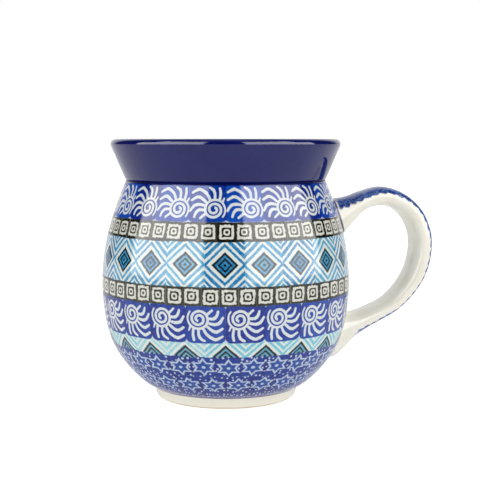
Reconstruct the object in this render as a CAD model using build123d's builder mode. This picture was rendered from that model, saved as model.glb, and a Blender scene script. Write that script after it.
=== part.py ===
from build123d import *
import math
import os

os.makedirs("parts", exist_ok=True)

# Stoneware mug with a round belly, a flared collar and one loop handle.
# Millimetres. +Z up, +X towards the handle, origin at the centre of the
# standing ring. Every radius is measured from the Z axis.

# ---------------------------------------------------------------- dimensions
HEIGHT = 102.0            # standing ring to top of lip
GLAZE = 0.3               # glaze skin thickness, everywhere
SLIP = 0.8                # thickness of the luting slip under the handle roots
NECK_R, NECK_Z = 39.4, 86.0   # sharp crease between belly and collar
COLLAR_TILT = 23.0        # degrees, collar flare from the vertical
LIP_R = 1.95              # radius of the rounded lip, glaze included
FOOT_TOP_R, FOOT_TOP_Z = 28.9, 4.4
FOOT_EDGE_R = 27.6        # bottom of the foot's outer wall, above its rounding
FOOT_ROUND = 0.9          # rounding of the foot's outer edge
RING_IN_R = 23.0          # inner radius of the standing ring
RECESS = 2.3              # depth of the recess under the floor, before glaze
INNER_GLAZE_TOP_Z = 93.0  # where the cobalt rim glaze ends inside the collar

# Outer surface of the glazed belly, foot to neck, as (radius, z).
BELLY = [
    (28.9, 4.4), (33.5, 7.5), (38.2, 12.0), (43.0, 18.4), (46.2, 25.2),
    (48.2, 34.0), (49.0, 45.0), (48.45, 55.0), (46.7, 65.0),
    (44.55, 72.4), (42.05, 79.4), (39.4, 86.0),
]

# Inner surface of the glazed cup, floor centre to neck, as (radius, z).
CUP = [
    (0.0, 7.9), (12.0, 8.1), (22.0, 8.9), (30.3, 11.6), (36.4, 17.0),
    (40.6, 24.2), (43.5, 34.0), (44.6, 45.0), (44.1, 55.0), (42.3, 65.0),
    (39.9, 73.0), (37.0, 80.5), (35.45, 86.2),
]

# Handle: centre x, z, direction of the section's thickness from the inner
# face to the outer face in degrees above +X, half thickness, half width.
# The first and last sections lie inside the wall and are cut off by it.
SECTIONS = [
    (41.0, 69.9, 97.0, 7.8, 9.2),
    (47.0, 71.2, 94.0, 7.2, 9.0),
    (51.3, 74.0, 95.0, 5.4, 8.5),
    (56.3, 77.2, 97.0, 3.95, 8.1),
    (63.4, 78.9, 86.0, 3.95, 8.0),
    (70.8, 77.0, 62.0, 3.8, 8.0),
    (77.0, 71.6, 33.0, 4.0, 8.0),
    (80.35, 64.5, 12.0, 4.1, 8.0),
    (81.0, 58.6, 0.0, 4.15, 8.0),
    (80.1, 52.0, -11.0, 4.1, 8.0),
    (77.6, 45.6, -22.0, 3.95, 8.0),
    (73.25, 39.6, -34.0, 3.7, 8.0),
    (67.5, 34.5, -46.0, 3.55, 8.0),
    (60.6, 31.0, -56.0, 3.65, 8.1),
    (54.3, 28.3, -60.0, 4.2, 8.4),
    (49.0, 26.2, -56.0, 5.7, 8.8),
    (43.5, 22.4, -55.0, 6.8, 9.1),
    (37.3, 18.0, -52.0, 7.6, 9.2),
    (28.5, 14.9, -47.0, 8.1, 8.6),
]
OVAL = 0.85   # 1 is an ellipse, less is a fuller oval


def offset_points(points, distance):
    """Move each (r, z) point sideways, to the left of the direction of travel."""
    moved = []
    for i, (r, z) in enumerate(points):
        r0, z0 = points[max(i - 1, 0)]
        r1, z1 = points[min(i + 1, len(points) - 1)]
        if 0 < i < len(points) - 1:
            # direction through three unevenly spaced points
            a = math.hypot(r - r0, z - z0)
            b = math.hypot(r1 - r, z1 - z)
            dr = (r - r0) / a * b + (r1 - r) / b * a
            dz = (z - z0) / a * b + (z1 - z) / b * a
        else:
            dr, dz = r1 - r0, z1 - z0
        length = math.hypot(dr, dz)
        moved.append((r - dz / length * distance, z + dr / length * distance))
    return moved


# Collar lines, parallel to each other and tangent to the lip circle.
tilt = math.radians(COLLAR_TILT)
UP = (math.sin(tilt), math.cos(tilt))        # along the collar, upwards
OUT = (math.cos(tilt), -math.sin(tilt))      # out of the collar
LIP_C_Z = HEIGHT - LIP_R


def on_collar(across, z):
    """Point at height z on the line parallel to the collar, across mm outside its middle."""
    base = (NECK_R - LIP_R * OUT[0], NECK_Z - LIP_R * OUT[1])
    start = (base[0] + across * OUT[0], base[1] + across * OUT[1])
    run = (z - start[1]) / UP[1]
    return (start[0] + run * UP[0], z)


LIP_C = on_collar(0.0, LIP_C_Z)


def on_lip(radius, side):
    """Tangent point of the lip circle with a collar line; side +1 outer, -1 inner, 0 top."""
    if side == 0:
        return (LIP_C[0] + radius * UP[0], LIP_C[1] + radius * UP[1])
    return (LIP_C[0] + side * radius * OUT[0], LIP_C[1] + side * radius * OUT[1])


# Stoneware under the glaze: the same curves, one glaze thickness inside.
BELLY_CLAY = offset_points(BELLY, GLAZE)
CREASE_CLAY = on_collar(LIP_R - GLAZE, NECK_Z + 0.1)
BELLY_CLAY = BELLY_CLAY[:-1] + [CREASE_CLAY]
FOOT_JOIN = (FOOT_TOP_R - GLAZE, FOOT_TOP_Z - 0.15)
BELLY_CLAY = [FOOT_JOIN] + BELLY_CLAY[1:]
CUP_CLAY = offset_points(CUP, -GLAZE)
CUP_CLAY[0] = (0.0, CUP[0][1] - GLAZE)
BELLY_SLIP = offset_points(BELLY, GLAZE - SLIP)

CUP_TOP = on_collar(-LIP_R, INNER_GLAZE_TOP_Z)
CUP_TOP_CLAY = on_collar(-(LIP_R - GLAZE), INNER_GLAZE_TOP_Z)
FOOT_LOW = (FOOT_EDGE_R, FOOT_ROUND)
FOOT_LOW_CLAY = (FOOT_EDGE_R - GLAZE, FOOT_ROUND)

# Profiles are drawn on the half-plane away from the handle, so that no seam of
# a turned surface runs under a handle root.
BACK = Plane(origin=(0, 0, 0), x_dir=(-1, 0, 0), z_dir=(0, 1, 0))

# ------------------------------------------------------- shapes used to trim


def solid_of_revolution(points):
    """Solid bounded by a spline of (r, z) points, for trimming the handle."""
    with BuildPart() as shape:
        with BuildSketch(BACK):
            with BuildLine():
                Spline(*points)
                Polyline(points[-1], (0, points[-1][1]), (0, points[0][1]), points[0])
            make_face()
        revolve(axis=Axis.Z)
    return shape.part


clay_tool = solid_of_revolution(BELLY_CLAY)
glaze_tool = solid_of_revolution(BELLY)
slip_tool = solid_of_revolution(BELLY_SLIP)


def handle_loft(skin):
    """Loop of flattened oval sections, its surface skin mm outside the clay."""
    with BuildPart() as shape:
        for x, z, angle, half_t, half_w in SECTIONS:
            a = math.radians(angle)
            w, t = half_w - GLAZE + skin, half_t - GLAZE + skin
            c = 0.5 ** (OVAL / 2)      # corner points of the oval
            plane = Plane(origin=(x, 0, z), x_dir=(0, 1, 0), z_dir=(math.sin(a), 0, -math.cos(a)))
            with BuildSketch(plane):
                with BuildLine():
                    Spline((w, 0), (w * c, t * c), (0, t), tangents=((0, 1), (-1, 0)))
                    Spline((0, t), (-w * c, t * c), (-w, 0), tangents=((-1, 0), (0, -1)))
                    Spline((-w, 0), (-w * c, -t * c), (0, -t), tangents=((0, -1), (1, 0)))
                    Spline((0, -t), (w * c, -t * c), (w, 0), tangents=((1, 0), (0, 1)))
                make_face()
        loft()
    return shape.part


handle_clay_tool = handle_loft(0.0)
handle_skin_tool = handle_loft(GLAZE)

# ------------------------------------------------------------ stoneware body
# One casting: foot ring, belly, collar and lip, hollow inside.
with BuildPart() as stoneware_body:
    with BuildSketch(BACK):
        with BuildLine():
            Line((0, RECESS), (RING_IN_R - 1.2, RECESS))
            Line((RING_IN_R - 1.2, RECESS), (RING_IN_R, 0.5))
            Line((RING_IN_R, 0.5), (RING_IN_R + 0.5, 0))
            Line((RING_IN_R + 0.5, 0), (FOOT_LOW_CLAY[0] - FOOT_ROUND, 0))
            RadiusArc((FOOT_LOW_CLAY[0] - FOOT_ROUND, 0), FOOT_LOW_CLAY, -FOOT_ROUND)
            Line(FOOT_LOW_CLAY, FOOT_JOIN)
            Spline(*BELLY_CLAY)
            Line(CREASE_CLAY, on_lip(LIP_R - GLAZE, 1))
            ThreePointArc(
                on_lip(LIP_R - GLAZE, 1), on_lip(LIP_R - GLAZE, 0), on_lip(LIP_R - GLAZE, -1)
            )
            Line(on_lip(LIP_R - GLAZE, -1), CUP_TOP_CLAY)
            Spline(CUP_TOP_CLAY, *reversed(CUP_CLAY))
            Line(CUP_CLAY[0], (0, RECESS))
        make_face()
    revolve(axis=Axis.Z)
stoneware_body.part.label = "stoneware_body"

# -------------------------------------------------------------- collar glaze
# Cobalt glaze: outside of the collar from the crease, over the lip, and a
# short way down inside.
with BuildPart() as collar_glaze:
    with BuildSketch(BACK):
        with BuildLine():
            Line(CREASE_CLAY, BELLY[-1])
            Line(BELLY[-1], on_lip(LIP_R, 1))
            ThreePointArc(on_lip(LIP_R, 1), on_lip(LIP_R, 0), on_lip(LIP_R, -1))
            Line(on_lip(LIP_R, -1), CUP_TOP)
            Line(CUP_TOP, CUP_TOP_CLAY)
            Line(CUP_TOP_CLAY, on_lip(LIP_R - GLAZE, -1))
            ThreePointArc(
                on_lip(LIP_R - GLAZE, -1), on_lip(LIP_R - GLAZE, 0), on_lip(LIP_R - GLAZE, 1)
            )
            Line(on_lip(LIP_R - GLAZE, 1), CREASE_CLAY)
        make_face()
    revolve(axis=Axis.Z)
collar_glaze.part.label = "collar_glaze"

# --------------------------------------------------------------- belly glaze
# Clear glaze over the decoration, down the foot's outer wall, with an opening
# at each handle root.
with BuildPart() as belly_glaze:
    with BuildSketch(BACK):
        with BuildLine():
            Line(FOOT_LOW_CLAY, FOOT_LOW)
            Line(FOOT_LOW, BELLY[0])
            Spline(*BELLY)
            Line(BELLY[-1], CREASE_CLAY)
            Spline(*BELLY_CLAY)
            Line(FOOT_JOIN, FOOT_LOW_CLAY)
        make_face()
    revolve(axis=Axis.Z)
    add(handle_clay_tool, mode=Mode.SUBTRACT)
belly_glaze.part.label = "belly_glaze"

# --------------------------------------------------------------- liner glaze
with BuildPart() as liner_glaze:
    with BuildSketch(BACK):
        with BuildLine():
            Spline(CUP_TOP_CLAY, *reversed(CUP_CLAY))
            Line(CUP_CLAY[0], CUP[0])
            Spline(CUP_TOP, *reversed(CUP))
            Line(CUP_TOP, CUP_TOP_CLAY)
        make_face()
    revolve(axis=Axis.Z)
liner_glaze.part.label = "liner_glaze"

# ---------------------------------------------------------------- base glaze
# Thin glaze on the ceiling of the recess under the foot.
with BuildPart() as base_glaze:
    with BuildSketch(BACK):
        with BuildLine():
            wall = (RING_IN_R - 1.2, RECESS)
            low = (wall[0] + 1.2 * GLAZE / (RECESS - 0.5), RECESS - GLAZE)
            Polyline((0, RECESS), wall, low, (0, RECESS - GLAZE), (0, RECESS))
        make_face()
    revolve(axis=Axis.Z)
base_glaze.part.label = "base_glaze"

# -------------------------------------------------------------------- handle
# The strap's clay, cut to the wall's curve and one slip thickness short of it.
with BuildPart() as handle:
    add(handle_clay_tool)
    add(slip_tool, mode=Mode.SUBTRACT)
handle.part.label = "handle"

# -------------------------------------------------------------- slip joints
# Slip between the strap's ends and the wall.
with BuildPart() as slip_joints:
    add(handle_clay_tool)
    add(slip_tool, mode=Mode.INTERSECT)
    add(clay_tool, mode=Mode.SUBTRACT)
pads = slip_joints.part.solids().sort_by(Axis.Z)

with BuildPart() as upper_handle_joint:
    add(pads[-1])
upper_handle_joint.part.label = "upper_handle_joint"

with BuildPart() as lower_handle_joint:
    add(pads[0])
lower_handle_joint.part.label = "lower_handle_joint"

# -------------------------------------------------------------- handle glaze
# Skin around the strap, resting on the belly's glaze at both roots.
with BuildPart() as handle_glaze:
    add(handle_skin_tool)
    add(handle_clay_tool, mode=Mode.SUBTRACT)
    add(glaze_tool, mode=Mode.SUBTRACT)
handle_glaze.part.label = "handle_glaze"

export_step(stoneware_body.part, "parts/stoneware_body.step")
export_step(collar_glaze.part, "parts/collar_glaze.step")
export_step(belly_glaze.part, "parts/belly_glaze.step")
export_step(liner_glaze.part, "parts/liner_glaze.step")
export_step(base_glaze.part, "parts/base_glaze.step")
export_step(handle.part, "parts/handle.step")
export_step(upper_handle_joint.part, "parts/upper_handle_joint.step")
export_step(lower_handle_joint.part, "parts/lower_handle_joint.step")
export_step(handle_glaze.part, "parts/handle_glaze.step")
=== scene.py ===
import bpy
import math
from mathutils import Matrix, Vector


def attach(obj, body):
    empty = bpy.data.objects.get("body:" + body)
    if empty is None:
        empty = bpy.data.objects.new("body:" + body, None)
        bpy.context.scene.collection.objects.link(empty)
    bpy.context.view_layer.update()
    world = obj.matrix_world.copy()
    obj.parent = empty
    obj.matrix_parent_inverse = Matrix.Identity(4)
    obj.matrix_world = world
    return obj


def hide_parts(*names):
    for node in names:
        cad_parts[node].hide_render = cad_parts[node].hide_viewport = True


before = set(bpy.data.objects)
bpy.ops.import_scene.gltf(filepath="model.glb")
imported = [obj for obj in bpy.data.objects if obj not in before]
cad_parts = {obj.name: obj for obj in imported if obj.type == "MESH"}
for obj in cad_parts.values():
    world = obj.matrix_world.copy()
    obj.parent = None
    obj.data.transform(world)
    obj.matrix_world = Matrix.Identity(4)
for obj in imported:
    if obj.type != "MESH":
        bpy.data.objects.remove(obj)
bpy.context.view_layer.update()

scene = bpy.context.scene
TAU = 2 * math.pi
MM = 0.001

# ============================================================== camera
FOCAL_PX = 1100.0                       # focal length for a 480-pixel-wide frame
PITCH = math.atan(100.0 / FOCAL_PX)     # eye level is the rim of the mug
CAM_AZ = math.radians(-10.0)
cam_data = bpy.data.cameras.new("camera")
cam_data.sensor_fit = "HORIZONTAL"
cam_data.sensor_width = 36.0
cam_data.lens = FOCAL_PX / 480 * 36
cam_data.clip_start = 0.01
camera = bpy.data.objects.new("camera", cam_data)
scene.collection.objects.link(camera)
camera.location = (0.4357 * math.sin(CAM_AZ), -0.4357 * math.cos(CAM_AZ), 0.1016)
yaw = math.atan(14.25 * math.cos(PITCH) / FOCAL_PX)
ahead = Vector((-math.sin(CAM_AZ), math.cos(CAM_AZ), 0.0))
ahead.rotate(Matrix.Rotation(-yaw, 3, "Z"))
look = Vector((ahead.x * math.cos(PITCH), ahead.y * math.cos(PITCH), -math.sin(PITCH)))
camera.rotation_euler = look.to_track_quat("-Z", "Y").to_euler()
scene.camera = camera
scene.view_settings.view_transform = "Standard"
scene.view_settings.look = "None"

# ============================================================== profiles
# The glazed outside of the belly and the inside of the cup, (radius, z) in mm.
BELLY = [
    (28.9, 4.4), (33.5, 7.5), (38.2, 12.0), (43.0, 18.4), (46.2, 25.2),
    (48.2, 34.0), (49.0, 45.0), (48.45, 55.0), (46.7, 65.0),
    (44.55, 72.4), (42.05, 79.4), (39.4, 86.0),
]
CUP = [
    (0.0, 7.9), (12.0, 8.1), (22.0, 8.9), (30.3, 11.6), (36.4, 17.0),
    (40.6, 24.2), (43.5, 34.0), (44.6, 45.0), (44.1, 55.0), (42.3, 65.0),
    (39.9, 73.0), (37.0, 80.5), (35.45, 86.2), (38.13, 93.0),
]
NECK = (39.4, 86.0)
TILT = math.radians(23.0)
UP = (math.sin(TILT), math.cos(TILT))
OUT = (math.cos(TILT), -math.sin(TILT))
LIP_R = 1.95
LIP_Z = 102.0 - LIP_R
GLAZE = 0.3


def on_collar(across, z):
    base = (NECK[0] - LIP_R * OUT[0], NECK[1] - LIP_R * OUT[1])
    start = (base[0] + across * OUT[0], base[1] + across * OUT[1])
    run = (z - start[1]) / UP[1]
    return (start[0] + run * UP[0], z)


LIP_C = on_collar(0.0, LIP_Z)


def catmull(points, per):
    """Smooth curve through the points (centripetal), per steps in each span."""
    pts = [(2 * points[0][0] - points[1][0], 2 * points[0][1] - points[1][1])] + list(points)
    pts.append((2 * points[-1][0] - points[-2][0], 2 * points[-1][1] - points[-2][1]))
    out = []
    for i in range(1, len(pts) - 2):
        p0, p1, p2, p3 = pts[i - 1], pts[i], pts[i + 1], pts[i + 2]
        t0 = 0.0
        t1 = t0 + math.dist(p0, p1) ** 0.5
        t2 = t1 + math.dist(p1, p2) ** 0.5
        t3 = t2 + math.dist(p2, p3) ** 0.5
        for k in range(per):
            t = t1 + (t2 - t1) * k / per
            q = []
            for c in (0, 1):
                a1 = (t1 - t) / (t1 - t0) * p0[c] + (t - t0) / (t1 - t0) * p1[c]
                a2 = (t2 - t) / (t2 - t1) * p1[c] + (t - t1) / (t2 - t1) * p2[c]
                a3 = (t3 - t) / (t3 - t2) * p2[c] + (t - t2) / (t3 - t2) * p3[c]
                b1 = (t2 - t) / (t2 - t0) * a1 + (t - t0) / (t2 - t0) * a2
                b2 = (t3 - t) / (t3 - t1) * a2 + (t - t1) / (t3 - t1) * a3
                q.append((t2 - t) / (t2 - t1) * b1 + (t - t1) / (t2 - t1) * b2)
            out.append(tuple(q))
    out.append(tuple(points[-1]))
    return out


def resample(curve, step):
    """Points at even spacing along a polyline."""
    length = sum(math.dist(a, b) for a, b in zip(curve, curve[1:]))
    n = max(2, round(length / step))
    out, want, run = [curve[0]], length / n, 0.0
    goal = want
    for a, b in zip(curve, curve[1:]):
        d = math.dist(a, b)
        while goal <= run + d + 1e-9 and len(out) < n:
            f = (goal - run) / d
            out.append((a[0] + f * (b[0] - a[0]), a[1] + f * (b[1] - a[1])))
            goal += want
        run += d
    out.append(curve[-1])
    return out


def inset(curve, distance):
    """Curve moved to the left of its direction of travel."""
    out = []
    for i, p in enumerate(curve):
        a, b = curve[max(i - 1, 0)], curve[min(i + 1, len(curve) - 1)]
        d = math.dist(a, b)
        out.append((p[0] - (b[1] - a[1]) / d * distance, p[1] + (b[0] - a[0]) / d * distance))
    return out


def spline_rows(rows, per):
    """Smooth every column of a table of sections (uniform Catmull-Rom)."""
    rows = [tuple(2 * a - b for a, b in zip(rows[0], rows[1]))] + list(rows)
    rows.append(tuple(2 * a - b for a, b in zip(rows[-1], rows[-2])))
    out = []
    for i in range(1, len(rows) - 2):
        for k in range(per):
            t = k / per
            q = []
            for a, b, c, d in zip(rows[i - 1], rows[i], rows[i + 1], rows[i + 2]):
                q.append(0.5 * (2 * b + (c - a) * t + (2 * a - 5 * b + 4 * c - d) * t * t + (3 * b - a - 3 * c + d) * t ** 3))
            out.append(tuple(q))
    out.append(rows[-2])
    return out


belly_fine = catmull(BELLY, 24)
cup_fine = catmull(CUP, 24)


def radius_at(z, curve=belly_fine):
    if z <= curve[0][1]:
        return curve[0][0]
    for a, b in zip(curve, curve[1:]):
        if a[1] <= z <= b[1]:
            return a[0] + (b[0] - a[0]) * (z - a[1]) / max(b[1] - a[1], 1e-9)
    return curve[-1][0]


ARC = [0.0]
for a, b in zip(belly_fine, belly_fine[1:]):
    ARC.append(ARC[-1] + math.dist(a, b))


def arc_at(z):
    """Length along the belly's outside from the top of the foot to height z, mm."""
    for i in range(len(belly_fine) - 1):
        a, b = belly_fine[i], belly_fine[i + 1]
        if a[1] <= z <= b[1]:
            return ARC[i] + (ARC[i + 1] - ARC[i]) * (z - a[1]) / (b[1] - a[1])
    return ARC[-1] if z > 50 else 0.0


# The hand shows in a slightly uneven round: never outside the true shape.
def hand(x, y, z):
    ang = math.atan2(y, x)
    dip = 0.10 * (1 - math.cos(2 * ang + 0.9)) / 2 + 0.06 * (1 - math.cos(3 * ang + 2.1 + z * 0.02)) / 2
    dip += 0.03 * (1 - math.cos(5 * ang - z * 0.05)) / 2
    r = math.hypot(x, y)
    k = 1.0 if r < 5 else 1 - dip / r
    return (x * k, y * k, z)


# ============================================================== mesh makers
def new_mesh(name, verts, faces, uvs=None):
    mesh = bpy.data.meshes.new(name)
    mesh.from_pydata([(x * MM, y * MM, z * MM) for x, y, z in verts], [], faces)
    if uvs is not None:
        layer = mesh.uv_layers.new(name="surface")
        flat = []
        for face in uvs:
            for u, v in face:
                flat += [u, v]
        layer.data.foreach_set("uv", flat)
    mesh.polygons.foreach_set("use_smooth", [True] * len(mesh.polygons))
    mesh.update()
    obj = bpy.data.objects.new(name, mesh)
    scene.collection.objects.link(obj)
    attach(obj, "root")
    return obj


def turned(name, ring, closed, n=240, vs=None, warp=True):
    """Solid of revolution. ring is the (r, z) outline, anticlockwise seen with r to the
    right and z up. closed: the outline never meets the axis. vs gives the UV's v."""
    verts, faces, uvs, index = [], [], [], []
    vs = vs or [0.0] * len(ring)
    for r, z in ring:
        row = []
        if r < 1e-6:
            verts.append((0.0, 0.0, z))
            row = [len(verts) - 1] * n
        else:
            for k in range(n):
                a = TAU * k / n
                p = (r * math.cos(a), r * math.sin(a), z)
                verts.append(hand(*p) if warp else p)
                row.append(len(verts) - 1)
        index.append(row)
    m = len(ring)
    for i in range(m if closed else m - 1):
        j = (i + 1) % m
        if ring[i][0] < 1e-6 and ring[j][0] < 1e-6:
            continue
        for k in range(n):
            l = (k + 1) % n
            quad = [index[i][k], index[i][l], index[j][l], index[j][k]]
            uv = [(k / n, vs[i]), ((k + 1) / n, vs[i]), ((k + 1) / n, vs[j]), (k / n, vs[j])]
            if quad[0] == quad[1]:
                quad, uv = quad[1:], uv[1:]
            elif quad[2] == quad[3]:
                quad, uv = quad[:3], uv[:3]
            faces.append(quad)
            uvs.append(uv)
    return new_mesh(name, verts, faces, uvs)


# ============================================================== node maths
class S:
    """A number in a node tree: a constant or a socket, with arithmetic."""

    def __init__(self, net, value):
        self.net, self.value = net, value

    def _op(self, op, *others, **kw):
        return self.net.math(op, self, *others, **kw)

    def __add__(self, o): return self._op("ADD", o)
    def __radd__(self, o): return self._op("ADD", o)
    def __sub__(self, o): return self._op("SUBTRACT", o)
    def __rsub__(self, o): return self.net.math("SUBTRACT", o, self)
    def __mul__(self, o): return self._op("MULTIPLY", o)
    def __rmul__(self, o): return self._op("MULTIPLY", o)
    def __truediv__(self, o): return self._op("DIVIDE", o)
    def __rtruediv__(self, o): return self.net.math("DIVIDE", o, self)
    def __neg__(self): return self._op("MULTIPLY", -1.0)
    def abs(self): return self._op("ABSOLUTE")
    def floor(self): return self._op("FLOOR")
    def round(self): return self._op("ROUND")
    def fract(self): return self._op("FRACT")
    def sin(self): return self._op("SINE")
    def cos(self): return self._op("COSINE")
    def sqrt(self): return self._op("SQRT")
    def pow(self, o): return self._op("POWER", o)
    def mod(self, o): return self._op("FLOORED_MODULO", o)
    def min(self, o): return self._op("MINIMUM", o)
    def max(self, o): return self._op("MAXIMUM", o)
    def clamp(self): return self._op("ADD", 0.0, clamp=True)


class Net:
    """Builds a material's nodes from expressions."""

    def __init__(self, name, roughness=0.08, ior=1.5, coat=0.0):
        self.mat = bpy.data.materials.new(name)
        self.mat.use_nodes = True
        self.tree = self.mat.node_tree
        self.bsdf = self.tree.nodes["Principled BSDF"]
        self.bsdf.inputs["Roughness"].default_value = roughness
        self.bsdf.inputs["IOR"].default_value = ior
        self.bsdf.inputs["Coat Weight"].default_value = coat
        self._coord = None
        self.count = 0

    def node(self, kind, **props):
        n = self.tree.nodes.new(kind)
        for k, v in props.items():
            setattr(n, k, v)
        n.location = (-200 * (self.count % 40) - 300, -160 * (self.count // 40))
        self.count += 1
        return n

    def put(self, socket, value):
        if isinstance(value, S):
            value = value.value
        if isinstance(value, bpy.types.NodeSocket):
            self.tree.links.new(value, socket)
        elif isinstance(value, (tuple, list)) and len(value) == 3 and socket.type == "RGBA":
            socket.default_value = (*value, 1.0)
        else:
            socket.default_value = value

    def math(self, op, a, b=None, c=None, clamp=False):
        n = self.node("ShaderNodeMath", operation=op, use_clamp=clamp)
        self.put(n.inputs[0], a)
        if b is not None:
            self.put(n.inputs[1], b)
        if c is not None:
            self.put(n.inputs[2], c)
        return S(self, n.outputs[0])

    def madd(self, a, b, c):
        return self.math("MULTIPLY_ADD", a, b, c)

    def vec(self, x, y, z=0.0):
        n = self.node("ShaderNodeCombineXYZ")
        for i, v in enumerate((x, y, z)):
            self.put(n.inputs[i], v)
        return n.outputs[0]

    def vmath(self, op, a, b=None, scale=None, value=False):
        n = self.node("ShaderNodeVectorMath", operation=op)
        self.put(n.inputs[0], a)
        if b is not None:
            self.put(n.inputs[1], b)
        if scale is not None:
            self.put(n.inputs["Scale"], scale)
        return S(self, n.outputs["Value"]) if value else n.outputs["Vector"]

    def xyz(self, v):
        n = self.node("ShaderNodeSeparateXYZ")
        self.put(n.inputs[0], v)
        return tuple(S(self, o) for o in n.outputs)

    def position(self):
        """Object position in mm."""
        if self._coord is None:
            n = self.node("ShaderNodeTexCoord")
            self._coord = self.vmath("SCALE", n.outputs["Object"], scale=1000.0)
        return self._coord

    def uv(self):
        n = self.node("ShaderNodeUVMap", uv_map="surface")
        x, y, _ = self.xyz(n.outputs["UV"])
        return x, y

    def noise(self, vector, size, detail=2.0, rough=0.5, distort=0.0, color=False):
        """Noise with features of about size mm; value about 0..1."""
        n = self.node("ShaderNodeTexNoise", noise_dimensions="3D")
        self.put(n.inputs["Vector"], vector)
        n.inputs["Scale"].default_value = 1.0 / size
        n.inputs["Detail"].default_value = detail
        n.inputs["Roughness"].default_value = rough
        n.inputs["Distortion"].default_value = distort
        return self.xyz(n.outputs["Color"]) if color else S(self, n.outputs[0])

    def chance(self, w):
        """Random numbers from one number: (value, (r, g, b))."""
        n = self.node("ShaderNodeTexWhiteNoise", noise_dimensions="1D")
        self.put(n.inputs["W"], w)
        return S(self, n.outputs["Value"]), self.xyz(n.outputs["Color"])

    def ramp(self, x, lo, hi, out0=0.0, out1=1.0, smooth=True):
        n = self.node("ShaderNodeMapRange", interpolation_type="SMOOTHSTEP" if smooth else "LINEAR")
        n.clamp = True
        self.put(n.inputs["Value"], x)
        self.put(n.inputs["From Min"], lo)
        self.put(n.inputs["From Max"], hi)
        self.put(n.inputs["To Min"], out0)
        self.put(n.inputs["To Max"], out1)
        return S(self, n.outputs[0])

    def under(self, d, soft=0.1):
        """1 where d is negative, 0 where positive, soft mm edge."""
        return self.ramp(d, -soft, soft, 1.0, 0.0)

    def mix(self, f, a, b):
        """Colour mix."""
        n = self.node("ShaderNodeMix", data_type="RGBA")
        self.put(n.inputs[0], f)
        self.put(n.inputs[6], a)
        self.put(n.inputs[7], b)
        return n.outputs[2]

    def lerp(self, f, a, b):
        """Number mix."""
        n = self.node("ShaderNodeMix", data_type="FLOAT")
        self.put(n.inputs[0], f)
        self.put(n.inputs[2], a)
        self.put(n.inputs[3], b)
        return S(self, n.outputs[0])

    def capsule(self, p, a, b, r0, r1):
        """Distance from 2-D point p to a tapered stroke from a to b."""
        ba = (b[0] - a[0], b[1] - a[1])
        inv = 1.0 / (ba[0] ** 2 + ba[1] ** 2)
        pa = self.vmath("SUBTRACT", p, (a[0], a[1], 0.0))
        h = self.vmath("DOT_PRODUCT", pa, (ba[0] * inv, ba[1] * inv, 0.0), value=True).clamp()
        q = self.vmath("SCALE", (ba[0], ba[1], 0.0), scale=h)
        d = self.vmath("DISTANCE", pa, q, value=True)
        return d - self.madd(h, r1 - r0, r0)

    def bump(self, height, strength=0.2, distance=0.0001):
        n = self.node("ShaderNodeBump")
        n.inputs["Strength"].default_value = strength
        n.inputs["Distance"].default_value = distance
        self.put(n.inputs["Height"], height)
        self.tree.links.new(n.outputs[0], self.bsdf.inputs["Normal"])

    def color(self, c):
        self.put(self.bsdf.inputs["Base Color"], c)

    def rough(self, r):
        self.put(self.bsdf.inputs["Roughness"], r)


def lin(r, g, b):
    """sRGB 0-255 to scene linear."""
    return tuple(c / 255 / 12.92 if c / 255 <= 0.04045 else ((c / 255 + 0.055) / 1.055) ** 2.4 for c in (r, g, b))


CREAM = lin(240, 236, 226)
NAVY = lin(8, 14, 82)

# ============================================================== belly glaze material
A_LINE = arc_at(5.2)
A_STAR = arc_at(23.6)
A_CHEV = arc_at(29.0)
A_SUNL = arc_at(42.6)
A_SQ2 = arc_at(49.5)
A_DIA = arc_at(65.4)
A_SQ1 = arc_at(72.5)
A_SUNU = arc_at(86.0)
PHASE0 = math.radians(-100.5) / TAU        # the side turned to the viewer

# One stamp, in mm about the middle of its spiral: rays of two or three strokes.
RAYS = [
    [(3.2, 1.8, .46), (4.8, 3.2, .42)],
    [(3.9, 0.2, .50), (5.4, 0.2, .56), (6.5, 1.2, .54), (7.0, 2.8, .42)],
    [(3.9, -1.6, .50), (5.6, -1.9, .58), (7.4, -1.4, .56), (8.7, 0.6, .42)],
    [(3.2, -2.9, .50), (4.9, -4.3, .56), (6.5, -4.7, .58), (8.5, -3.5, .44)],
    [(1.7, -3.9, .48), (2.9, -5.9, .54), (5.2, -7.4, .58), (6.5, -7.5, .58), (8.5, -6.4, .44)],
    [(-0.2, -4.1, .46), (-0.1, -6.1, .52), (0.6, -7.4, .56), (1.9, -8.2, .44)],
    [(-2.0, -3.6, .46), (-2.3, -6.0, .50), (-2.0, -7.9, .44)],
    [(-3.1, -2.9, .42), (-3.7, -4.2, .26)],
]


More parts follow.
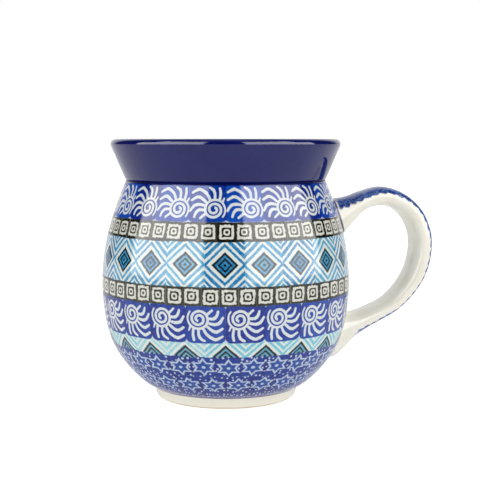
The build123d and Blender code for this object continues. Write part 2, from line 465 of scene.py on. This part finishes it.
def belly_material():
    m = Net("decorated_glaze", roughness=0.07)
    P = m.position()
    u, v = m.uv()
    A = v * 100.0
    nx, ny, nz = m.noise(P, 1.1, detail=1.0, color=True)        # fine wobble of every printed edge
    bx, by, bz = m.noise(P, 7.0, detail=1.0, color=True)        # slow drift of the hand
    ws = (nx - 0.5) * 0.55 + (bx - 0.5) * 0.5
    wt = (ny - 0.5) * 0.55 + (by - 0.5) * 0.5
    Aw = A + wt
    edge = A + (bz - 0.5) * 0.8 + (nz - 0.5) * 0.35

    fx = m.noise(P, 0.62, detail=0.0)

    # -------- inks
    mott = m.noise(P, 0.9, detail=3.0, rough=0.65)
    patch = m.noise(P, 5.0, detail=2.0)

    # -------- sun stamps, one drawing for both bands
    upper = m.ramp(A, A_SQ2 + 5, A_SQ2 + 6, smooth=False)
    nn = 21.0 - upper
    x = u * nn + m.lerp(upper, -PHASE0 * 21 + 0.978, -PHASE0 * 20 + 0.961)
    ci = x.floor()
    f = x - ci - 0.5
    rv, (r1, r2, r3) = m.chance(ci.mod(nn) + upper * 50.0 + 3.0)
    sgn = 1.0 - upper * 2.0
    pitch = m.lerp(upper, 14.35, 13.45)
    cs = sgn * (f * pitch)
    ct = sgn * (A - m.lerp(upper, (A_CHEV + A_SUNL) / 2, (A_SQ1 + A_SUNU) / 2 - 0.3))
    # stamped background: rounded pad, pale slivers where pads do not meet
    padx = ((cs + (r3 - 0.5) * 0.3).abs() - 4.85 + ws * 0.5).max(0.0)
    low_side = m.ramp(ct, -0.5, 0.5, 0.0, 1.0, smooth=False)
    pady = (ct.abs() - m.lerp(upper, 4.35 + low_side * 0.9, 5.05 - low_side * 0.5) + wt * 0.5).max(0.0)
    pad = (padx * padx + pady * pady).sqrt() - 2.55
    px = cs + 2.36 + ws * 0.45 + (r1 - 0.5) * 0.3
    py = ct - 2.3 + wt * 0.45 + (r2 - 0.5) * 0.3
    p = m.vec(px, py)
    rho = m.vmath("LENGTH", p, value=True)
    k = (m.math("ARCTAN2", py, px) * (-1.0 / TAU)).mod(1.0)
    turn = (rho - 1.75) * (1 / 1.5)
    lap = k + (turn - k).round()
    thick = m.ramp(lap, 1.15, 1.62, 0.47, 0.32)
    spiral = (turn - lap).abs() * 1.5 - thick
    spiral = spiral.max((lap - 1.62) * 8.0).max((-0.72 - lap) * 4.0)
    sun = spiral
    for ray in RAYS:
        ray = spline_rows(ray, 2) if len(ray) > 2 else ray
        for (ax, ay, ar), (bx_, by_, br) in zip(ray, ray[1:]):
            sun = sun.min(m.capsule(p, (ax, ay), (bx_, by_), ar, br))
    sun_white = m.under(sun, 0.12)
    pad_ink = m.under(pad, 0.22)
    deep = m.mix(m.ramp(r1 * 0.8 + patch * 0.5, 0.35, 0.95), lin(0, 24, 132), lin(4, 74, 182))
    lower_blue = m.mix(m.ramp(r1 * 0.5 + patch * 0.8, 0.35, 0.95), lin(20, 38, 142), lin(30, 72, 168))
    sun_blue = m.mix(upper, lower_blue, deep)
    sun_blue = m.mix(m.ramp(mott, 0.42, 0.66, 0.0, 0.30), sun_blue, m.mix(upper, lin(66, 112, 200), lin(40, 112, 206)))
    # neighbouring stamps overlap in a darker strip
    side = m.ramp(cs.abs() + (bx - 0.5) * 1.6, 6.2, 6.9, 0.0, 0.7)
    sun_blue = m.mix(side * m.ramp(patch, 0.35, 0.6), sun_blue, lin(36, 30, 122))
    sun_ground = m.mix(upper, lin(196, 224, 234), lin(206, 210, 232))
    sun_col = m.mix(pad_ink, sun_ground, sun_blue)
    stroke = m.mix(m.ramp(mott, 0.3, 0.75, 0.0, 0.4), lin(229, 233, 231), lin(198, 214, 231))
    sun_col = m.mix(sun_white * pad_ink, sun_col, stroke)

    # -------- square rings, one drawing for both bands
    sqn = 46.0 - upper * 2.0
    x = u * sqn + m.lerp(upper, -PHASE0 * 46 + 0.27, -PHASE0 * 44 + 0.41)
    ci = x.floor()
    f = x - ci - 0.5
    qv, (q1, q2, q3) = m.chance(ci.mod(sqn) + upper * 60.0 + 200.0)
    qs = f * m.lerp(upper, 6.65, 6.68) + ws * 0.5 + (q1 - 0.5) * 0.3
    qt = A - m.lerp(upper, (A_SUNL + A_SQ2) / 2, (A_DIA + A_SQ1) / 2) + wt * 0.5 + (q2 - 0.5) * 0.25
    sa_, ta_ = qs.abs(), qt.abs()
    square = sa_.max(ta_) * 0.93 + (sa_ + ta_) * 0.07
    box = square + (nz - 0.5) * 0.80 + (fx - 0.5) * 0.35
    rnd = m.lerp(0.5, (qs * qs + qt * qt).sqrt(), square) + (nx - 0.5) * 0.4
    ring_out = m.under(box - 2.70, 0.14)
    ring_in = m.under(box - 1.80, 0.14)
    ring_core = m.under(rnd - 1.20, 0.13)
    dot = m.under(rnd - 0.52, 0.15)
    ink = m.mix(m.ramp(qv * 0.7 + patch * 0.6, 0.4, 1.1), lin(8, 12, 6), lin(54, 56, 44))
    ink = m.mix(m.ramp(mott, 0.46, 0.70, 0.0, 0.28), ink, lin(104, 104, 90))
    ink = m.mix(m.ramp(qs.abs(), 3.0, 3.25) * m.ramp(q3, 0.45, 0.9) * 0.5, ink, lin(140, 142, 130))
    paper = m.mix(m.ramp(mott, 0.3, 0.7, 0.0, 0.4), lin(231, 231, 220), lin(211, 213, 203))
    sq_col = m.mix(ring_out, ink, paper)
    sq_col = m.mix(ring_in, sq_col, ink)
    sq_col = m.mix(ring_core, sq_col, paper)
    sq_col = m.mix(dot, sq_col, ink)

    # -------- diamonds, one drawing for the wide band and the half-hidden one below
    low = m.ramp(A, A_CHEV + 4, A_CHEV + 5, 1.0, 0.0, smooth=False)
    dn = 21.0 - low
    x = u * dn + m.lerp(low, -PHASE0 * 21 + 0.5, -PHASE0 * 20 + 0.483)
    ci = x.floor()
    f = x - ci - 0.5
    dv, (d1, d2, d3) = m.chance(ci.mod(dn) + low * 40.0 + 400.0)
    ds = f * m.lerp(low, 14.45, 14.3) + ws * 0.55 + (d1 - 0.5) * 0.3
    dt = A - m.lerp(low, (A_SQ2 + A_DIA) / 2 - 0.2, A_STAR + 0.2) + wt * 0.55 + (d2 - 0.5) * 0.4
    q = ds.abs() * (1 / 4.85) + dt.abs() * (1 / 4.65) + (nz - 0.5) * 0.07
    # the blue is printed apart from the black, a little out of register
    q_blue = (ds + 0.2 + (d3 - 0.5) * 0.5).abs() * (1 / 4.85) + (dt - 0.15).abs() * (1 / 4.65) + (nz - 0.5) * 0.09
    e = 0.035
    line1 = m.under(q_blue - m.lerp(low, 1.36, 1.30), e) * -1.0 + m.under(q_blue - m.lerp(low, 1.64, 1.58), e)
    line2 = m.under(q_blue - m.lerp(low, 1.92, 1.80), e) * -1.0 + m.under(q_blue - m.lerp(low, 2.30, 2.14), e)
    line3 = m.under(q_blue - 2.84, e) - m.under(q_blue - m.lerp(low, 2.56, 2.38), e)
    tri = 1.0 - m.under(q_blue - 3.0, e)
    bluefill = (line1 + line2 + line3 + tri + m.under(q_blue - 0.97, e)).clamp()
    outline = m.under(q - 1.01, e) - m.under(q - 0.77, e)
    ring2 = m.under(q - 0.57, e) - m.under(q - 0.36, e)
    core = m.under(q - 0.15, e)
    black = (outline + ring2 + core).clamp()
    dblue = m.mix(m.ramp(dv * 0.6 + patch * 0.8, 0.35, 1.0), lin(6, 122, 184), lin(78, 170, 210))
    dblue = m.mix(m.ramp(mott, 0.42, 0.68, 0.0, 0.5), dblue, lin(128, 188, 222))
    turq = m.mix(m.ramp(dv * 0.5 + mott * 0.9, 0.4, 1.0), lin(112, 200, 222), lin(172, 222, 228))
    turq = m.mix(m.under(q_blue - 0.97, e) * 0.8, turq, lin(92, 158, 190))
    dia_blue = m.mix(low, dblue, turq)
    dia_ink = m.mix(m.ramp(d2 * 0.7 + patch * 0.6, 0.35, 1.0), lin(4, 10, 12), lin(46, 52, 50))
    dia_col = m.mix(bluefill, lin(229, 235, 229), dia_blue)
    dia_col = m.mix(black * m.ramp(mott, 0.25, 0.4, 0.84, 1.0), dia_col, dia_ink)

    # -------- stars, two staggered rows
    row2 = m.ramp(A, arc_at(15.55) - 0.05, arc_at(15.55) + 0.05, 1.0, 0.0, smooth=False)
    sn = 30.0 - row2 * 4.0
    x = u * sn + m.lerp(row2, -PHASE0 * 30 + 0.35, -PHASE0 * 26 + 0.977)
    ci = x.floor()
    f = x - ci - 0.5
    sv, (s1, s2_, s3) = m.chance(ci.mod(sn) + row2 * 35.0 + 600.0)
    ss = f * m.lerp(row2, 9.12, 9.2) * 0.87 + ws * 0.5 + (s1 - 0.5) * 0.35
    st = A - m.lerp(row2, arc_at(19.3), arc_at(11.6)) + wt * 0.5 + (s2_ - 0.5) * 0.5
    srho = (ss * ss + st * st).sqrt()
    sa = m.math("ARCTAN2", ss, st) + (s3 - 0.5) * 0.12
    fold = ((sa * (6 / TAU) + 0.5).fract() - 0.5).abs() * (TAU / 6)
    star = srho * (TAU / 6 - fold).cos() - 1.86
    line = m.under(star.abs() - 0.30, 0.13) * m.ramp(mott, 0.3, 0.45, 0.6, 1.0)
    hub = m.under(srho - 0.60, 0.16)
    vor = m.node("ShaderNodeTexVoronoi", voronoi_dimensions="2D", feature="F1")
    m.put(vor.inputs["Vector"], m.vec(u * 290.0, A))
    vor.inputs["Scale"].default_value = 1 / 2.25
    vor.inputs["Randomness"].default_value = 0.8
    vd = S(m, vor.outputs["Distance"])
    vr, _, _ = m.xyz(vor.outputs["Color"])
    dots = m.under(vd - m.lerp(vr, 0.14, 0.235), 0.055) * m.ramp(star, 0.40, 0.55)
    between = m.ramp(ss.abs(), 2.9, 3.9)
    star_blue = m.mix(m.ramp(sv * 0.5 + patch * 0.8, 0.3, 1.0), lin(14, 40, 132), lin(28, 60, 150))
    star_blue = m.mix(m.under(star, 0.3) * 0.75, star_blue, m.mix(m.ramp(mott, 0.35, 0.6), lin(28, 68, 152), lin(46, 90, 170)))
    star_blue = m.mix(between * m.ramp(patch, 0.35, 0.6, 1.0, 0.35) * 0.85, star_blue, lin(28, 28, 112))
    star_blue = m.mix(m.ramp(mott, 0.5, 0.7, 0.0, 0.3), star_blue, lin(84, 108, 180))
    pale = lin(200, 216, 234)
    star_col = m.mix(((line + hub + dots).clamp()) * 0.92, star_blue, pale)

    # -------- bands, bottom to top
    col = star_col
    # the chevron band shows through the ragged top of the stars
    ragged = A_STAR + (m.noise(P, 1.6, detail=1.0) - 0.5) * 0.9
    col = m.mix(m.ramp(A - ragged, -0.14, 0.14), col, dia_col)
    # the suns' pads reach down over the chevrons in scallops
    sun_low = m.ramp(edge, A_CHEV - 0.9, A_CHEV - 0.7, smooth=False) * (1 - m.ramp(edge, A_SUNL - 0.05, A_SUNL + 0.05))
    below = m.ramp(A, A_CHEV - 0.1, A_CHEV + 0.5)
    col = m.mix(sun_low * pad_ink.max(below), col, sun_col)
    sq_low = m.ramp(edge, A_SUNL - 0.1, A_SUNL + 0.1)
    col = m.mix(sq_low, col, sq_col)
    dia_w = m.ramp(edge, A_SQ2 - 0.1, A_SQ2 + 0.1)
    col = m.mix(dia_w, col, dia_col)
    sq_up = m.ramp(edge, A_DIA - 0.1, A_DIA + 0.1)
    col = m.mix(sq_up, col, sq_col)
    sun_up = m.ramp(edge + r2 * 0.3, A_SQ1 - 0.1, A_SQ1 + 0.1)
    col = m.mix(sun_up, col, sun_col)

    # -------- handle roots: cream margin
    ang = ((u + 0.5).fract() - 0.5)
    for z0, half_s, half_t in ((70.6, 10.9, 9.3), (23.6, 10.6, 14.0)):
        ex = (((ang * (TAU * radius_at(z0))) + ws * 0.5).abs() - (half_s - 6.0)).max(0.0)
        ey = ((A - arc_at(z0) + wt * 0.5).abs() - (half_t - 6.0)).max(0.0)
        em = (ex * ex + ey * ey).sqrt() - 6.0
        col = m.mix(m.under(em, 0.15), col, lin(236, 233, 224))

    # -------- painted line above the foot, bare cream glaze below it
    wear = m.noise(P, 2.5, detail=2.0)
    foot_line = A - A_LINE + (wear - 0.5) * 0.25
    faded = m.ramp(A, A_LINE, A_LINE + 3.0, 0.38, 0.0)
    col = m.mix(faded * m.ramp(mott, 0.35, 0.6, 0.5, 1.0), col, lin(140, 134, 188))
    col = m.mix(m.under(foot_line - 0.85, 0.14) * 0.5, col, lin(170, 168, 200))
    col = m.mix(m.under(foot_line - 0.22, 0.12), col, lin(22, 32, 124))
    col = m.mix(m.under(A - 0.35 + (wear - 0.5) * 0.3, 0.14), col, m.mix(wear, lin(254, 249, 230), lin(255, 253, 238)))

    # -------- cobalt pooled in the crease under the collar
    col = m.mix(m.ramp(A + (wear - 0.5) * 0.5, A_SUNU - 1.1, A_SUNU - 0.6), col, NAVY)

    m.color(col)
    m.rough(m.ramp(m.noise(P, 3.0, detail=3.0), 0.3, 0.8, 0.05, 0.11))
    m.bump(m.noise(P, 9.0, detail=1.0) + m.noise(P, 2.0, detail=1.0) * 0.12, strength=0.5, distance=0.00012)
    print("belly nodes", m.count)
    return m.mat


def collar_material():
    m = Net("cobalt_glaze", roughness=0.05, ior=1.51)
    P = m.position()
    x, y, z = m.xyz(P)
    wide = m.noise(P, 9.0, detail=2.0)
    fine = m.noise(P, 0.6, detail=2.0)
    r = (x * x + y * y).sqrt()
    # thin over the top of the lip, where the glaze draws off the edge
    top = m.ramp(z + (wide - 0.5) * 0.3, 101.2, 101.95)
    col = m.mix(m.ramp(wide, 0.25, 0.8), lin(7, 14, 90), lin(12, 22, 98))
    col = m.mix(m.ramp(fine, 0.62, 0.75, 0.0, 0.25), col, lin(36, 52, 130))
    col = m.mix(top * 0.75, col, lin(10, 40, 118))
    m.color(col)
    m.rough(m.ramp(m.noise(P, 4.0, detail=3.0), 0.3, 0.8, 0.035, 0.08))
    m.bump(wide + fine * 0.05, strength=0.35, distance=0.00012)
    return m.mat


def liner_material():
    m = Net("clear_glaze", roughness=0.07)
    P = m.position()
    x, y, z = m.xyz(P)
    wide = m.noise(P, 9.0, detail=3.0)
    fine = m.noise(P, 1.2, detail=3.0, rough=0.7)
    col = m.mix(m.ramp(wide, 0.3, 0.7), lin(249, 245, 233), lin(253, 250, 241))
    # iron specks in the stoneware under the glaze
    col = m.mix(m.ramp(m.noise(P, 0.5, detail=0.0), 0.80, 0.86, 0.0, 0.45), col, lin(150, 120, 92))
    # the cobalt of the rim runs a little way down into it
    run = z + (m.noise(P, 3.5, detail=2.0) - 0.5) * 2.2
    col = m.mix(m.ramp(run, 91.2, 92.6), col, m.mix(m.ramp(fine, 0.35, 0.65), lin(10, 14, 88), lin(40, 60, 150)))
    col = m.mix(m.ramp(run, 89.8, 91.6, 0.0, 0.35), col, lin(120, 140, 200))
    m.color(col)
    m.rough(m.ramp(wide, 0.3, 0.8, 0.05, 0.11))
    m.bump(wide + fine * 0.05, strength=0.4, distance=0.00012)
    return m.mat


def base_material():
    m = Net("base_clear_glaze", roughness=0.09)
    P = m.position()
    wide = m.noise(P, 7.0, detail=3.0)
    col = m.mix(m.ramp(wide, 0.3, 0.7), lin(232, 226, 210), lin(241, 237, 226))
    col = m.mix(m.ramp(m.noise(P, 0.5, detail=0.0), 0.78, 0.85, 0.0, 0.5), col, lin(150, 120, 92))
    m.color(col)
    m.rough(m.ramp(wide, 0.3, 0.8, 0.06, 0.13))
    m.bump(wide, strength=0.5, distance=0.0002)
    return m.mat


def stoneware_material(name="stoneware"):
    m = Net(name, roughness=0.75)
    P = m.position()
    wide = m.noise(P, 5.0, detail=4.0)
    grain = m.noise(P, 0.35, detail=3.0, rough=0.7)
    col = m.mix(m.ramp(wide, 0.3, 0.7), lin(214, 198, 172), lin(229, 216, 194))
    col = m.mix(m.ramp(grain, 0.45, 0.75, 0.0, 0.4), col, lin(190, 168, 138))
    col = m.mix(m.ramp(m.noise(P, 0.45, detail=0.0), 0.78, 0.84, 0.0, 0.7), col, lin(122, 92, 66))
    m.color(col)
    m.rough(m.ramp(grain, 0.3, 0.8, 0.62, 0.85))
    m.bump(grain + wide * 0.4, strength=0.7, distance=0.00012)
    return m.mat


def handle_material():
    m = Net("handle_glaze", roughness=0.12)
    P = m.position()
    u, v = m.uv()          # u round the section from the outer face, v along the strap
    L = v * 100.0
    a = ((u + 0.5).fract() - 0.5).abs() * 2.0       # 0 outer face, 1 inner face
    wide = m.noise(P, 6.0, detail=3.0)
    mott = m.noise(P, 1.05, detail=3.0, rough=0.7, distort=0.6)
    fine = m.noise(P, 0.45, detail=2.0)
    # scalloped edge of the sponged band
    scal = (L * (math.pi / 3.3) + ((u + 0.5).fract() - 0.5) * 14.0).sin().abs()
    limit = m.ramp(L, 8.0, 18.0, 0.335, 0.38).min(m.ramp(L, 26.0, 48.0, 0.38, 0.325)) + scal * 0.05 + (wide - 0.5) * 0.10 + (fine - 0.5) * 0.05
    band = m.under(a - limit, 0.018)
    tails = m.ramp(L + (fine - 0.5) * 4.0, 3.0, 4.0) * m.ramp(L + (fine - 0.5) * 4.0, HANDLE_LEN - 19.0, HANDLE_LEN - 14.0, 1.0, 0.0)
    band = band * tails
    blue = m.mix(m.ramp(wide, 0.3, 0.7), lin(8, 44, 128), lin(30, 80, 168))
    sponge = m.ramp(mott, 0.50, 0.60)
    blue = m.mix(sponge * 0.65, blue, lin(124, 160, 210))
    cream = m.mix(m.ramp(wide, 0.3, 0.7), lin(251, 246, 230), lin(254, 251, 238))
    cream = m.mix(m.ramp(m.noise(P, 0.5, detail=0.0), 0.82, 0.88, 0.0, 0.35), cream, lin(150, 120, 92))
    col = m.mix(band, cream, blue)
    # the painted line where the strap meets the wall
    x, y, z = m.xyz(P)
    up = z - 65.0
    wall = 46.7 - up * 0.25631 - up * up * 0.004625
    off = (x * x + y * y).sqrt() - wall + (fine - 0.5) * 0.3
    col = m.mix(m.under(off - 0.72, 0.14) * m.ramp(z, 60.0, 62.0) * 0.9, col, lin(22, 34, 108))
    m.color(col)
    m.rough(m.ramp(wide, 0.3, 0.8, 0.09, 0.15))
    m.bump(wide + fine * 0.03, strength=0.4, distance=0.00015)
    return m.mat


# ============================================================== pieces
# Belly glaze: outside from the foot to the crease, back up its inside.
foot_out = [(26.9, 0.55), (27.35, 0.75), (27.6, 1.1), (27.9, 2.0), (28.25, 3.0), (28.6, 3.9), (28.75, 4.25)]
outer = foot_out + resample(belly_fine, 0.95)
outer_v = [-(4.4 - z) / 100.0 for r, z in foot_out] + [0.0] * 0
run = 0.0
prev = None
for p in resample(belly_fine, 0.95):
    if prev is not None:
        run += math.dist(prev, p)
    outer_v.append(run / 100.0)
    prev = p
# v must be the true arc, so scale the sampled run to the fine curve's length
top_v = outer_v[-1]
outer_v = [v if v < 0 else v * (ARC[-1] / 100.0) / top_v for v in outer_v]
clay = inset(resample(belly_fine, 2.4), GLAZE)
inner = list(reversed(clay))
inner_v = [ARC[-1] / 100.0 * (1 - i / (len(inner) - 1)) for i in range(len(inner))]
foot_in = [(28.4, 4.1), (27.9, 2.6), (27.3, 1.2), (26.75, 0.75)]
ring = outer + inner + foot_in
ring_v = outer_v + inner_v + [-(4.4 - z) / 100.0 for r, z in foot_in]
belly = turned("decorated_belly_glaze", ring, True, n=300, vs=ring_v)
belly.data.materials.append(belly_material())
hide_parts("belly_glaze")

# Collar glaze: up the outside from the crease, over the lip, down inside.
collar = []
steps = 14
low_out = on_collar(LIP_R, NECK[1])
top_out = (LIP_C[0] + LIP_R * OUT[0], LIP_C[1] + LIP_R * OUT[1])
for i in range(steps + 1):
    t = i / steps
    bow = -0.08 * math.sin(math.pi * t)     # the glaze is a touch fuller half way up
    p = (low_out[0] + (top_out[0] - low_out[0]) * t, low_out[1] + (top_out[1] - low_out[1]) * t)
    collar.append((p[0] - bow * OUT[0], p[1] - bow * OUT[1]))
for i in range(1, 19):
    a = -TILT + math.pi * i / 18
    collar.append((LIP_C[0] + LIP_R * math.cos(a), LIP_C[1] + LIP_R * math.sin(a)))
end_in = on_collar(-LIP_R, 93.0)
for i in range(1, 9):
    t = i / 8
    p = collar[-1] if i == 1 else p0
    p0 = p if i == 1 else p0
    collar.append((p0[0] + (end_in[0] - p0[0]) * t, p0[1] + (end_in[1] - p0[1]) * t))
back = inset(collar, GLAZE)
back[0] = (low_out[0] - 0.32, low_out[1] + 0.12)
back[-1] = on_collar(-(LIP_R - GLAZE), 93.0)
collar_piece = turned("cobalt_collar_glaze", collar + list(reversed(back)), True, n=300)
collar_piece.data.materials.append(collar_material())
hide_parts("collar_glaze")

# Liner glaze: the inside, from the rim glaze down to the middle of the floor.
cup_line = resample(cup_fine, 1.6)
cup_line[0] = (0.0, 7.9)
inside = list(reversed(cup_line))                      # top to centre
under = inset(cup_line, -GLAZE)
under[0] = (0.0, 7.6)
liner = turned("cup_liner_glaze", inside + under, True, n=240)
liner.data.materials.append(liner_material())
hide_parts("liner_glaze")

# Base glaze in the recess under the foot.
base_ring = [(0.0, 2.0), (12.0, 2.02), (19.0, 2.05), (21.2, 1.92), (21.9, 1.80), (22.05, 2.0), (21.8, 2.28), (0.0, 2.3)]
base = turned("recess_base_glaze", [(0.0, 2.0)] + resample(base_ring[:6], 0.8)[1:] + base_ring[6:], True, n=180)
base.data.materials.append(base_material())
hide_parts("base_glaze")

# Stoneware body: the bare standing ring is all that shows of it.
body_ring = [(0.0, 2.3), (21.8, 2.3), (22.25, 1.9), (22.7, 1.0), (22.95, 0.45), (23.15, 0.16), (23.5, 0.02), (24.2, 0.0), (25.4, 0.0),
             (26.1, 0.03), (26.6, 0.2), (26.85, 0.5)]
body_out = [(27.0, 1.3), (27.5, 2.7), (28.2, 4.15)] + inset(resample(belly_fine, 2.4), GLAZE)[1:-1]
collar_clay = inset(collar, GLAZE + 0.02)
body_cup = inset(resample(cup_fine, 2.4), -GLAZE - 0.02)
body_cup[0] = (0.0, 7.58)
body_all = body_ring + body_out + [(39.1, 86.05)] + collar_clay[1:-1] + list(reversed(body_cup))
body = turned("stoneware_cup", body_all, True, n=180)
body.data.materials.append(stoneware_material())
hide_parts("stoneware_body")

# Handle: one strap of rounded sections, spread where it is smoothed onto the wall.
SECTIONS = [
    (41.0, 69.9, 97.0, 7.8, 9.2), (47.0, 71.2, 94.0, 7.2, 9.0), (51.3, 74.0, 95.0, 5.4, 8.5),
    (56.3, 77.2, 97.0, 3.95, 8.1), (63.4, 78.9, 86.0, 3.95, 8.0), (70.8, 77.0, 62.0, 3.8, 8.0),
    (77.0, 71.6, 33.0, 4.0, 8.0), (80.35, 64.5, 12.0, 4.1, 8.0), (81.0, 58.6, 0.0, 4.15, 8.0),
    (80.1, 52.0, -11.0, 4.1, 8.0), (77.6, 45.6, -22.0, 3.95, 8.0), (73.25, 39.6, -34.0, 3.7, 8.0),
    (67.5, 34.5, -46.0, 3.55, 8.0), (60.6, 31.0, -56.0, 3.65, 8.1), (54.3, 28.3, -60.0, 4.2, 8.4),
    (49.0, 26.2, -56.0, 5.7, 8.8), (43.5, 22.4, -55.0, 6.8, 9.1), (37.3, 18.0, -52.0, 7.6, 9.2),
]


rows = spline_rows(SECTIONS, 6)
# travel along the strap's middle line
lengths = [0.0]
for a, b in zip(rows, rows[1:]):
    lengths.append(lengths[-1] + math.dist(a[:2], b[:2]))
HANDLE_LEN = lengths[-1]
NS = 72


def strap(name, grow, material, node, first=0, last=None):
    """The strap between two rows of sections, grown by grow mm all round."""
    verts, faces, uvs = [], [], []
    last = len(rows) if last is None else last
    for (x, z, ang, half_t, half_w), run_ in zip(rows[first:last], lengths[first:last]):
        # the lower end is thumbed round where it stops on the wall
        left = max(0.0, 1 - (HANDLE_LEN - run_) / 5.0)
        a = math.radians(ang)
        # the strap is pulled: slightly wider and narrower along its length
        half_w = half_w * (1 + 0.012 * math.sin(run_ * 0.11 + 0.6)) - 0.10
        for k in range(NS):
            b = TAU * k / NS
            c, s = math.cos(b), math.sin(b)
            e = 0.80
            # t is the thickness direction (outer face at b = 0), w the width
            pt = math.copysign(abs(c) ** e, c)
            pw = math.copysign(abs(s) ** e, s)
            # inner face a little flatter than the outer one
            flat = 0.94 if pt < 0 else 1.0
            t = (half_t + grow) * pt * flat
            w = (half_w + grow) * pw
            vx, vy, vz = x + math.cos(a) * t, w, z + math.sin(a) * t
            # spread onto the wall
            d = math.hypot(vx, vy) - radius_at(vz)
            swell = 0.55 * math.exp(-max(d, 0.0) / 1.6) if grow > -0.05 else 0.0
            t += swell * pt - left * left * 2.1 * max(pt, 0.0)
            w += swell * pw - left * left * 2.0 * pw
            vx, vy, vz = x + math.cos(a) * t, w, z + math.sin(a) * t
            # stay within the thickness of the wall
            keep = radius_at(vz) - 1.6
            r = math.hypot(vx, vy)
            if r < keep:
                vx, vy = vx * keep / r, vy * keep / r
            verts.append(hand(vx, vy, vz))
    m_ = last - first
    for i in range(m_ - 1):
        for k in range(NS):
            l = (k + 1) % NS
            faces.append([i * NS + k, (i + 1) * NS + k, (i + 1) * NS + l, i * NS + l])
            v0, v1 = lengths[first + i] / 100, lengths[first + i + 1] / 100
            uvs.append([(k / NS, v0), (k / NS, v1), ((k + 1) / NS, v1), ((k + 1) / NS, v0)])
    for i, flip in ((0, False), (m_ - 1, True)):
        loop = [i * NS + k for k in range(NS)]
        cx = sum(verts[j][0] for j in loop) / NS
        cz = sum(verts[j][2] for j in loop) / NS
        keep = radius_at(cz) - 1.6
        verts.append(hand(max(cx, keep), 0.0, cz))
        mid = len(verts) - 1
        for k in range(NS):
            l = (k + 1) % NS
            f = [mid, loop[k], loop[l]] if not flip else [mid, loop[l], loop[k]]
            faces.append(f)
            uvs.append([(0.5, lengths[first + i] / 100)] * 3)
    obj = new_mesh(name, verts, faces, uvs)
    obj.data.materials.append(material)
    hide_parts(node)
    return obj


handle_skin = strap("handle_strap_glaze", 0.0, handle_material(), "handle_glaze")

# The handle's clay and the slip under its roots, inside the glaze all the way.
clay_mat = stoneware_material("stoneware_clay")
slip_mat = stoneware_material("luting_slip")
N_ROWS = len(rows)
for name, node, mat, first, last in (
    ("handle_clay", "handle", clay_mat, 7, N_ROWS - 8),
    ("upper_root_slip", "upper_handle_joint", slip_mat, 2, 7),
    ("lower_root_slip", "lower_handle_joint", slip_mat, N_ROWS - 8, N_ROWS - 3),
):
    strap(name, -0.45, mat, node, first, last)

# ============================================================== floor and light
floor_mesh = bpy.data.meshes.new("floor")
R = 9.0
floor_mesh.from_pydata([(R * math.cos(TAU * k / 96), R * math.sin(TAU * k / 96), 0.0) for k in range(96)], [], [list(range(96))])
floor = bpy.data.objects.new("floor", floor_mesh)
scene.collection.objects.link(floor)
fm = bpy.data.materials.new("floor_paper")
fm.use_nodes = True
fb = fm.node_tree.nodes["Principled BSDF"]
fb.inputs["Base Color"].default_value = (0.80, 0.80, 0.80, 1)
fb.inputs["Emission Color"].default_value = (1, 1, 1, 1)
# the paper glows a little more to the eye than it lights the mug
flp = fm.node_tree.nodes.new("ShaderNodeLightPath")
fmr = fm.node_tree.nodes.new("ShaderNodeMapRange")
fmr.inputs["To Min"].default_value = 0.26
fmr.inputs["To Max"].default_value = 0.70
fm.node_tree.links.new(flp.outputs["Is Camera Ray"], fmr.inputs["Value"])
fm.node_tree.links.new(fmr.outputs[0], fb.inputs["Emission Strength"])
fb.inputs["Roughness"].default_value = 0.9
fb.inputs["Specular IOR Level"].default_value = 0.0
floor_mesh.materials.append(fm)

PANEL_D, PANEL_G, FILL_D = 1.25, 5.4, 0.25
# Studio light: a bright wall of soft light on each side of the viewer, a dark
# gap between them, a pale backdrop behind. White to the eye beyond the floor.
world = bpy.data.worlds.new("studio")
scene.world = world
world.use_nodes = True
wt_ = world.node_tree
wt_.nodes.clear()
W = Net.__new__(Net)
W.tree, W.count, W._coord = wt_, 0, None
tc = W.node("ShaderNodeTexCoord")
dx, dy, dz = W.xyz(tc.outputs["Generated"])
sa, ca = math.sin(CAM_AZ), math.cos(CAM_AZ)
front = dx * sa - dy * ca
right = dx * ca + dy * sa
az = W.math("ARCTAN2", right, front) * (180 / math.pi)
el = W.math("ARCSINE", dz) * (180 / math.pi)
far = W.ramp(el, 28.0, 33.0, 97.0, 81.0)
pr = W.ramp(az, 17.0, 20.0) * W.ramp(az - far, -2.0, 2.5, 1.0, 0.0)
pl = W.ramp(az, -23.5, -20.5, 1.0, 0.0) * W.ramp(-az - far, -2.0, 2.5, 1.0, 0.0)
panel = (pr + pl) * W.ramp(el, 46.0, 54.0, 1.0, 0.0)
rear = W.ramp(az.abs(), 134.0, 150.0) * W.ramp(el, 40.0, 70.0, 1.0, 0.0)
over = W.ramp(el, 62.0, 80.0)
lp = W.node("ShaderNodeLightPath")
# the panels show brighter in the glaze than their soft light falls on the clay
sheen = S(W, lp.outputs["Is Glossy Ray"])
light = panel * W.lerp(sheen, PANEL_D, PANEL_G) + rear * 0.9 + over * W.lerp(sheen, 1.25, 0.45) + W.lerp(sheen, FILL_D, 0.04)
bg = W.node("ShaderNodeBackground")
W.put(bg.inputs["Strength"], light)
bg.inputs["Color"].default_value = (1.0, 0.995, 0.985, 1)
white = W.node("ShaderNodeBackground")
white.inputs["Color"].default_value = (1, 1, 1, 1)
white.inputs["Strength"].default_value = 1.0
mixw = W.node("ShaderNodeMixShader")
wt_.links.new(lp.outputs["Is Camera Ray"], mixw.inputs[0])
wt_.links.new(bg.outputs[0], mixw.inputs[1])
wt_.links.new(white.outputs[0], mixw.inputs[2])
out = W.node("ShaderNodeOutputWorld")
wt_.links.new(mixw.outputs[0], out.inputs["Surface"])
